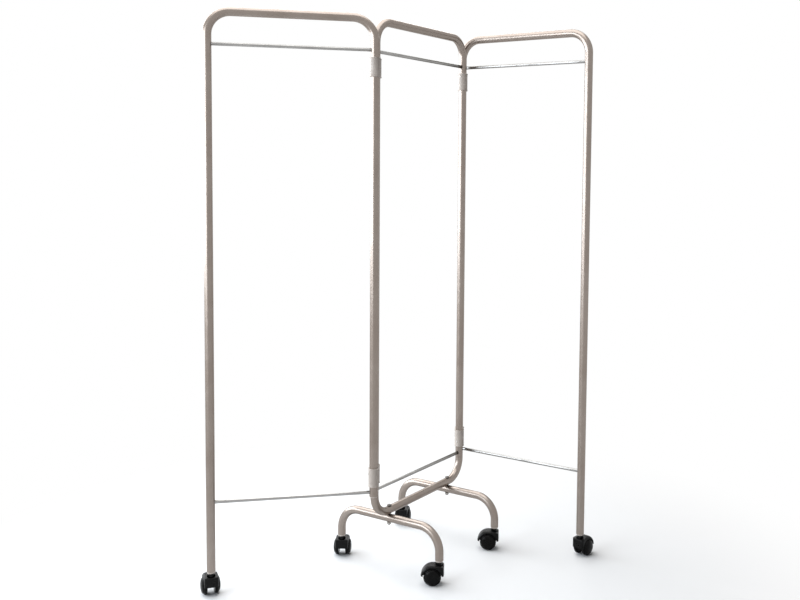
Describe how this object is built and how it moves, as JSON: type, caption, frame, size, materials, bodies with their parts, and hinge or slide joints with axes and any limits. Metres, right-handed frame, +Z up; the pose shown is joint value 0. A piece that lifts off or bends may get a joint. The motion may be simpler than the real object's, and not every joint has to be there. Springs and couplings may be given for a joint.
{
  "type": "folding ward screen on castors",
  "caption": "Tall folding privacy screen frame: a centre frame on arched feet, hinged side wings, curtain rods and twin-wheel castors.",
  "frame": {"origin": "on the floor, at the middle of the footprint in the pose of the picture", "axes": "+Z up; the centre frame stands along X, its front faces -Y"},
  "size_m": [0.9328, 0.8642, 1.7],
  "materials": {
    "frame_paint": "satin silver-grey paint with a warm tint",
    "rod_chrome": "bright chrome plate",
    "pale_plastic": "moulded plastic, pale warm grey, slightly glossy",
    "hood_plastic": "moulded black plastic with a soft gloss",
    "wheel_plastic": "hard black plastic wheel",
    "plated_steel": "zinc-plated steel"
  },
  "bodies": {
    "centre": {"centre_frame": "frame_paint", "centre_rail": "frame_paint", "centre_upper_rod": "rod_chrome", "centre_lower_rod": "rod_chrome", "left_foot": "frame_paint", "left_foot_bolt": "plated_steel", "left_foot_nut": "plated_steel", "left_front_castor_insert": "pale_plastic", "left_front_castor_stem": "plated_steel", "left_back_castor_insert": "pale_plastic", "left_back_castor_stem": "plated_steel", "right_foot": "frame_paint", "right_foot_bolt": "plated_steel", "right_foot_nut": "plated_steel", "right_front_castor_insert": "pale_plastic", "right_front_castor_stem": "plated_steel", "right_back_castor_insert": "pale_plastic", "right_back_castor_stem": "plated_steel", "right_upper_clip": "pale_plastic", "right_lower_clip": "pale_plastic"},
    "left_wing": {"left_wing_frame": "frame_paint", "left_upper_rod": "rod_chrome", "left_lower_rod": "rod_chrome", "left_end_plug": "pale_plastic", "left_upper_clip": "pale_plastic", "left_lower_clip": "pale_plastic", "left_wing_castor_insert": "pale_plastic", "left_wing_castor_stem": "plated_steel"},
    "right_wing": {"right_wing_frame": "frame_paint", "right_upper_rod": "rod_chrome", "right_lower_rod": "rod_chrome", "right_end_plug": "pale_plastic", "right_wing_castor_insert": "pale_plastic", "right_wing_castor_stem": "plated_steel"},
    "left_wing_castor": {"left_wing_castor_hood": "hood_plastic", "left_wing_castor_axle": "plated_steel"},
    "left_wing_wheel_a": {"left_wing_castor_wheel_a": "wheel_plastic"},
    "left_wing_wheel_b": {"left_wing_castor_wheel_b": "wheel_plastic"},
    "left_front_castor": {"left_front_castor_hood": "hood_plastic", "left_front_castor_axle": "plated_steel"},
    "left_front_wheel_a": {"left_front_castor_wheel_a": "wheel_plastic"},
    "left_front_wheel_b": {"left_front_castor_wheel_b": "wheel_plastic"},
    "left_back_castor": {"left_back_castor_hood": "hood_plastic", "left_back_castor_axle": "plated_steel"},
    "left_back_wheel_a": {"left_back_castor_wheel_a": "wheel_plastic"},
    "left_back_wheel_b": {"left_back_castor_wheel_b": "wheel_plastic"},
    "right_front_castor": {"right_front_castor_hood": "hood_plastic", "right_front_castor_axle": "plated_steel"},
    "right_front_wheel_a": {"right_front_castor_wheel_a": "wheel_plastic"},
    "right_front_wheel_b": {"right_front_castor_wheel_b": "wheel_plastic"},
    "right_back_castor": {"right_back_castor_hood": "hood_plastic", "right_back_castor_axle": "plated_steel"},
    "right_back_wheel_a": {"right_back_castor_wheel_a": "wheel_plastic"},
    "right_back_wheel_b": {"right_back_castor_wheel_b": "wheel_plastic"},
    "right_wing_castor": {"right_wing_castor_hood": "hood_plastic", "right_wing_castor_axle": "plated_steel"},
    "right_wing_wheel_a": {"right_wing_castor_wheel_a": "wheel_plastic"},
    "right_wing_wheel_b": {"right_wing_castor_wheel_b": "wheel_plastic"}
  },
  "joints": [
    {"name": "left_wing_hinge", "type": "hinge", "parent": "centre", "child": "left_wing", "pos_m": [-0.08925, 0.05518, 0.8], "axis": [0, 0, 1], "range_deg": [-90, 90]},
    {"name": "right_wing_hinge", "type": "hinge", "parent": "centre", "child": "right_wing", "pos_m": [0.40934, 0.07245, 0.8], "axis": [0, 0, 1], "range_deg": [-20, 180]},
    {"name": "left_wing_swivel", "type": "hinge", "parent": "left_wing", "child": "left_wing_castor", "pos_m": [-0.44371, 0.37745, 0.06], "axis": [0, 0, 1], "continuous": true},
    {"name": "left_wing_wheel_a_spin", "type": "hinge", "parent": "left_wing_castor", "child": "left_wing_wheel_a", "pos_m": [-0.43224, 0.39383, 0.02659], "axis": [0.8192, -0.5736, 0], "continuous": true},
    {"name": "left_wing_wheel_b_spin", "type": "hinge", "parent": "left_wing_castor", "child": "left_wing_wheel_b", "pos_m": [-0.43224, 0.39383, 0.02659], "axis": [0.8192, -0.5736, 0], "continuous": true},
    {"name": "left_front_swivel", "type": "hinge", "parent": "centre", "child": "left_front_castor", "pos_m": [-0.01525, -0.13482, 0.06], "axis": [0, 0, 1], "continuous": true},
    {"name": "left_front_wheel_a_spin", "type": "hinge", "parent": "left_front_castor", "child": "left_front_wheel_a", "pos_m": [-0.02555, -0.11767, 0.02659], "axis": [0.8572, 0.515, 0], "continuous": true},
    {"name": "left_front_wheel_b_spin", "type": "hinge", "parent": "left_front_castor", "child": "left_front_wheel_b", "pos_m": [-0.02555, -0.11767, 0.02659], "axis": [0.8572, 0.515, 0], "continuous": true},
    {"name": "left_back_swivel", "type": "hinge", "parent": "centre", "child": "left_back_castor", "pos_m": [-0.01525, 0.24518, 0.06], "axis": [0, 0, 1], "continuous": true},
    {"name": "left_back_wheel_a_spin", "type": "hinge", "parent": "left_back_castor", "child": "left_back_wheel_a", "pos_m": [0.00153, 0.25608, 0.02659], "axis": [0.5446, -0.8387, 0], "continuous": true},
    {"name": "left_back_wheel_b_spin", "type": "hinge", "parent": "left_back_castor", "child": "left_back_wheel_b", "pos_m": [0.00153, 0.25608, 0.02659], "axis": [0.5446, -0.8387, 0], "continuous": true},
    {"name": "right_front_swivel", "type": "hinge", "parent": "centre", "child": "right_front_castor", "pos_m": [0.30875, -0.13482, 0.06], "axis": [0, 0, 1], "continuous": true},
    {"name": "right_front_wheel_a_spin", "type": "hinge", "parent": "right_front_castor", "child": "right_front_wheel_a", "pos_m": [0.29936, -0.11716, 0.02659], "axis": [0.8829, 0.4695, 0], "continuous": true},
    {"name": "right_front_wheel_b_spin", "type": "hinge", "parent": "right_front_castor", "child": "right_front_wheel_b", "pos_m": [0.29936, -0.11716, 0.02659], "axis": [0.8829, 0.4695, 0], "continuous": true},
    {"name": "right_back_swivel", "type": "hinge", "parent": "centre", "child": "right_back_castor", "pos_m": [0.30875, 0.24518, 0.06], "axis": [0, 0, 1], "continuous": true},
    {"name": "right_back_wheel_a_spin", "type": "hinge", "parent": "right_back_castor", "child": "right_back_wheel_a", "pos_m": [0.32688, 0.25364, 0.02659], "axis": [0.4226, -0.9063, 0], "continuous": true},
    {"name": "right_back_wheel_b_spin", "type": "hinge", "parent": "right_back_castor", "child": "right_back_wheel_b", "pos_m": [0.32688, 0.25364, 0.02659], "axis": [0.4226, -0.9063, 0], "continuous": true},
    {"name": "right_wing_swivel", "type": "hinge", "parent": "right_wing", "child": "right_wing_castor", "pos_m": [0.40934, -0.39955, 0.06], "axis": [0, 0, 1], "continuous": true},
    {"name": "right_wing_wheel_a_spin", "type": "hinge", "parent": "right_wing_castor", "child": "right_wing_wheel_a", "pos_m": [0.42909, -0.40268, 0.02659], "axis": [-0.1564, -0.9877, 0], "continuous": true},
    {"name": "right_wing_wheel_b_spin", "type": "hinge", "parent": "right_wing_castor", "child": "right_wing_wheel_b", "pos_m": [0.42909, -0.40268, 0.02659], "axis": [-0.1564, -0.9877, 0], "continuous": true}
  ]
}
